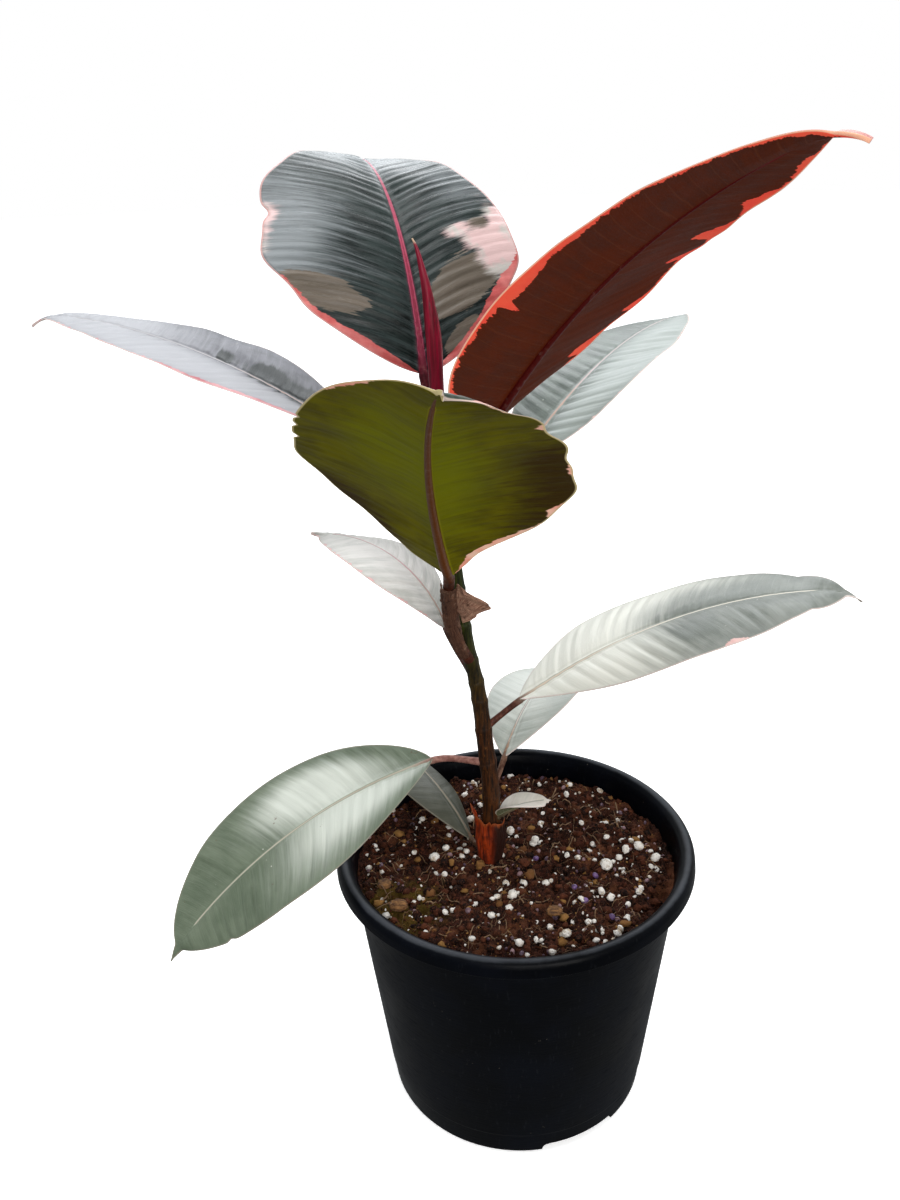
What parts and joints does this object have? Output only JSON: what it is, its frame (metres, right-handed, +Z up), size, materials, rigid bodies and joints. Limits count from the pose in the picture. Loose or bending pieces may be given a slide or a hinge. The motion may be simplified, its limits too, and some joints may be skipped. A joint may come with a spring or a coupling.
{
  "type": "potted rubber plant",
  "caption": "Young variegated rubber plant with broad leathery leaves on one stem, standing in a round black nursery pot full of soil.",
  "frame": {"origin": "centre of the pot's underside, on the surface that it stands on", "axes": "+Z up along the pot's axis; +X towards the lower right leaf and +Y towards the top leaf that arches back"},
  "size_m": [0.361, 0.2868, 0.4316],
  "materials": {
    "pot_plastic": "satin",
    "soil": "matte",
    "stem_bark": "satin",
    "leaf_grey_green": "satin",
    "leaf_dark_green": "satin",
    "bud_crimson": "satin",
    "dried_sheath": "matte",
    "orange_sheath": "satin",
    "perlite": "matte",
    "fertiliser": "satin",
    "bark": "matte"
  },
  "bodies": {
    "root": {"nursery_pot": "pot_plastic", "potting_soil": "soil", "main_stem": "stem_bark", "bud_sheath": "bud_crimson", "leaf_top_back": "leaf_dark_green", "leaf_upper_right": "leaf_dark_green", "leaf_front": "leaf_dark_green", "leaf_left": "leaf_grey_green", "leaf_back_right": "leaf_grey_green", "leaf_back_left": "leaf_grey_green", "leaf_lower_right": "leaf_grey_green", "leaf_lower_back": "leaf_grey_green", "leaf_lower_left": "leaf_grey_green", "leaf_small_low": "leaf_grey_green", "leaf_torn": "leaf_grey_green", "foot_sheath": "orange_sheath", "dried_sheath": "dried_sheath", "perlite_01": "perlite", "perlite_02": "perlite", "perlite_03": "perlite", "perlite_04": "perlite", "perlite_05": "perlite", "perlite_06": "perlite", "perlite_07": "perlite", "perlite_08": "perlite", "perlite_09": "perlite", "perlite_10": "perlite", "perlite_11": "perlite", "perlite_12": "perlite", "perlite_13": "perlite", "perlite_14": "perlite", "perlite_15": "perlite", "perlite_16": "perlite", "perlite_17": "perlite", "perlite_18": "perlite", "perlite_19": "perlite", "perlite_20": "perlite", "perlite_21": "perlite", "perlite_22": "perlite", "prill_01": "fertiliser", "prill_02": "fertiliser", "prill_03": "fertiliser", "prill_04": "fertiliser", "prill_05": "fertiliser", "bark_chip_01": "bark", "bark_chip_02": "bark", "bark_chip_03": "bark"}
  },
  "joints": []
}
